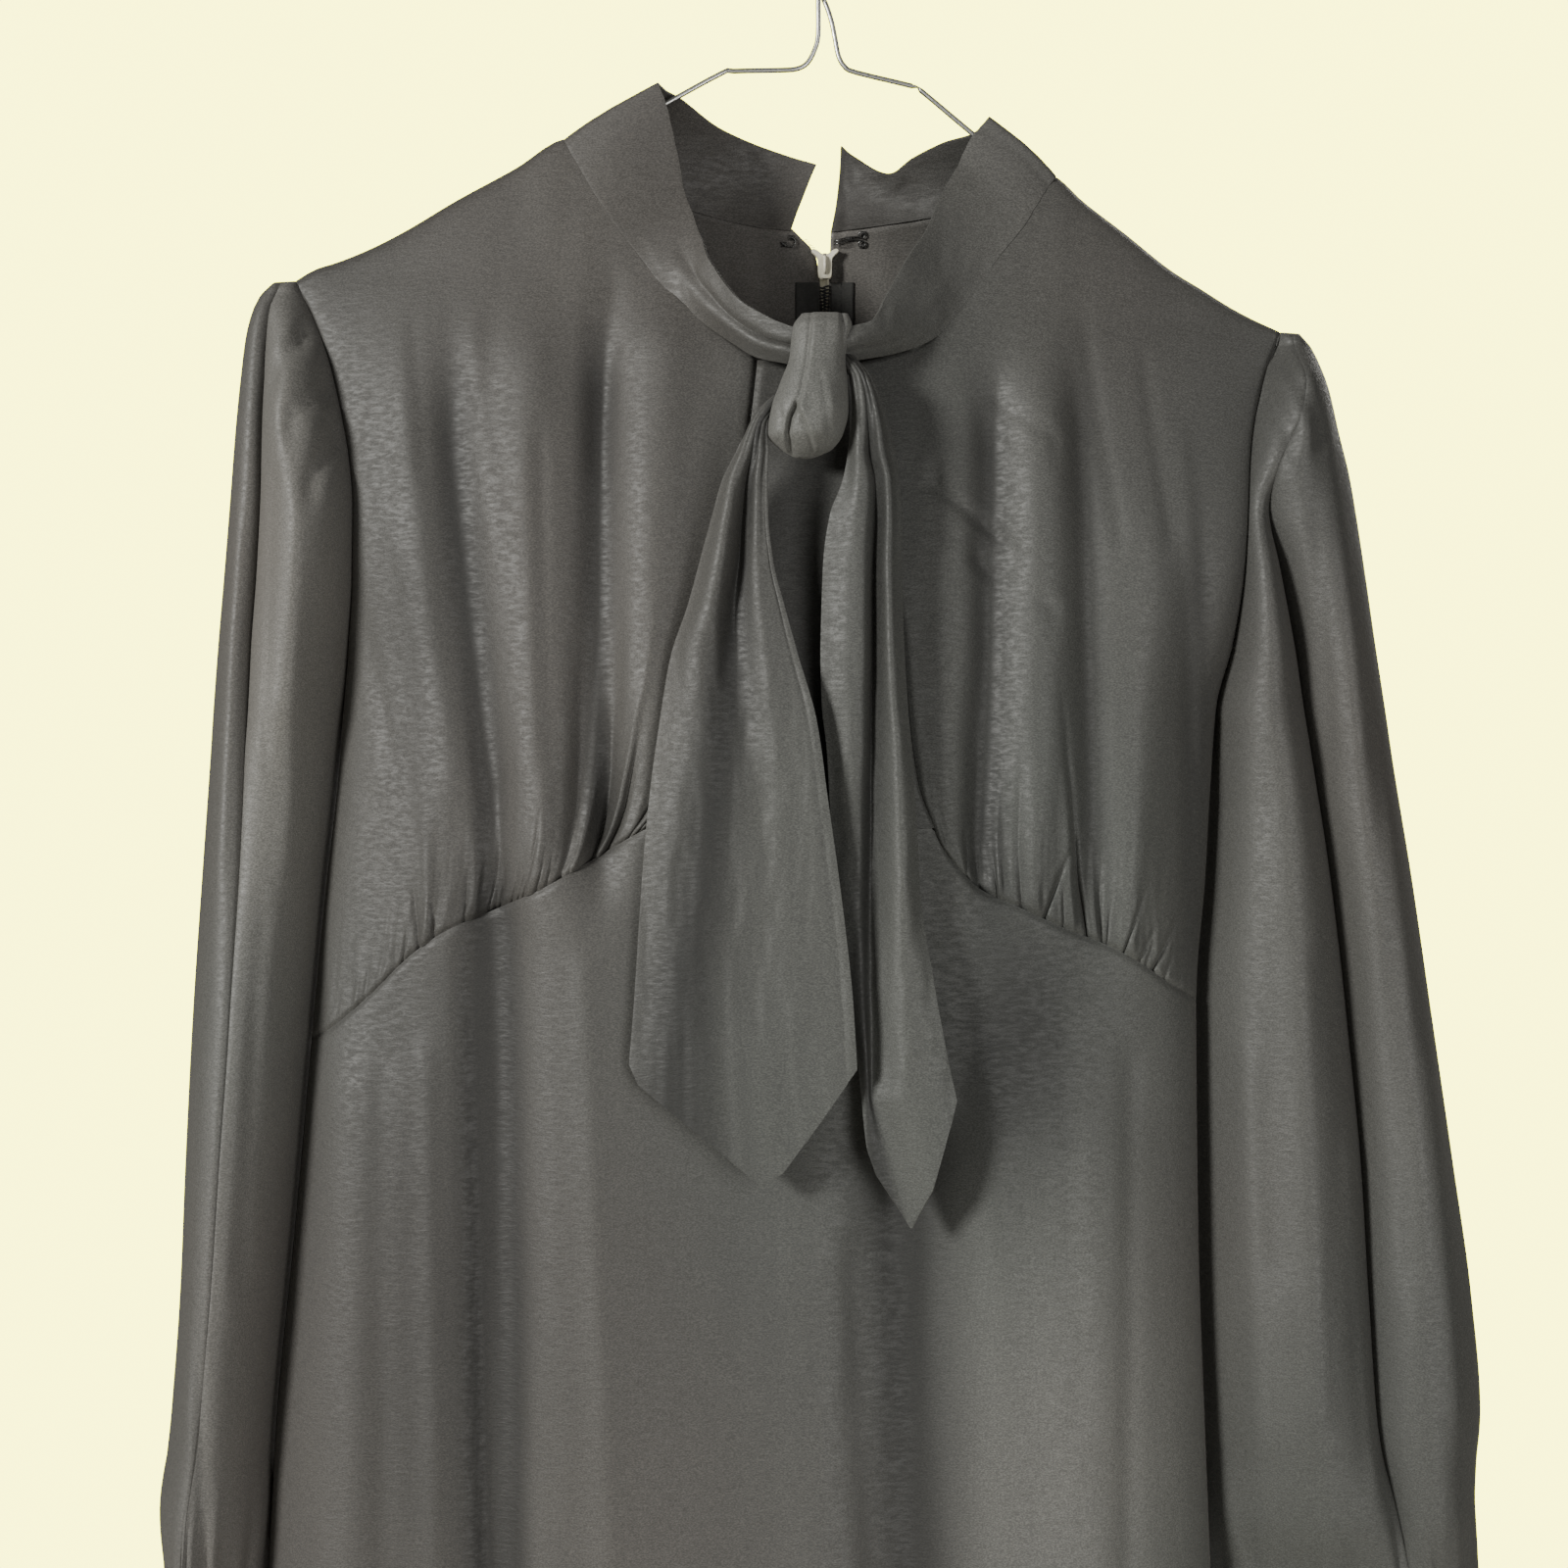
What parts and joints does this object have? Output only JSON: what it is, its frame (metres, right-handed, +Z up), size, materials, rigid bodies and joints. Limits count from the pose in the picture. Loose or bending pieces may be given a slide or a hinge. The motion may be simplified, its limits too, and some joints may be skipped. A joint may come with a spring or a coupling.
{
  "type": "tie neck dress on a wire hanger",
  "caption": "Long-sleeved dark crepe dress with a gathered bust, a knotted tie neck and a back zip, hanging on a wire hanger.",
  "frame": {"origin": "inner top of the hanger's hook, where a rail carries it", "axes": "+Z up, the front of the dress faces -Y, +X to the viewer's right; the hanger lies in the plane Y = 0"},
  "size_m": [0.5697, 0.1168, 1.232],
  "materials": {
    "crepe": "satin-backed crepe, crinkled, faded charcoal",
    "tape": "woven black tape",
    "coil": "black nylon coil",
    "painted_metal": "cream enamel",
    "dark_wire": "blackened wire",
    "wire": "galvanized wire"
  },
  "bodies": {
    "dress": {"hanger": "wire", "bodice_front_left": "crepe", "bodice_front_right": "crepe", "skirt_front": "crepe", "bodice_back_left": "crepe", "bodice_back_right": "crepe", "skirt_back_left": "crepe", "skirt_back_right": "crepe", "sleeve_left": "crepe", "sleeve_right": "crepe", "cuff_left": "crepe", "cuff_right": "crepe", "collar_left": "crepe", "collar_right": "crepe", "knot": "crepe", "tie_left": "crepe", "tie_right": "crepe", "zip_tape_left": "tape", "zip_tape_right": "tape", "zip_chain": "coil", "zip_slider": "painted_metal", "hook": "dark_wire", "eye": "dark_wire"},
    "zip_pull": {"zip_pull": "painted_metal"}
  },
  "joints": [
    {"name": "zip_pull_swing", "type": "hinge", "parent": "dress", "child": "zip_pull", "pos_m": [0, 0.041, -0.207], "axis": [1, 0, 0], "range_deg": [0, 165]}
  ]
}
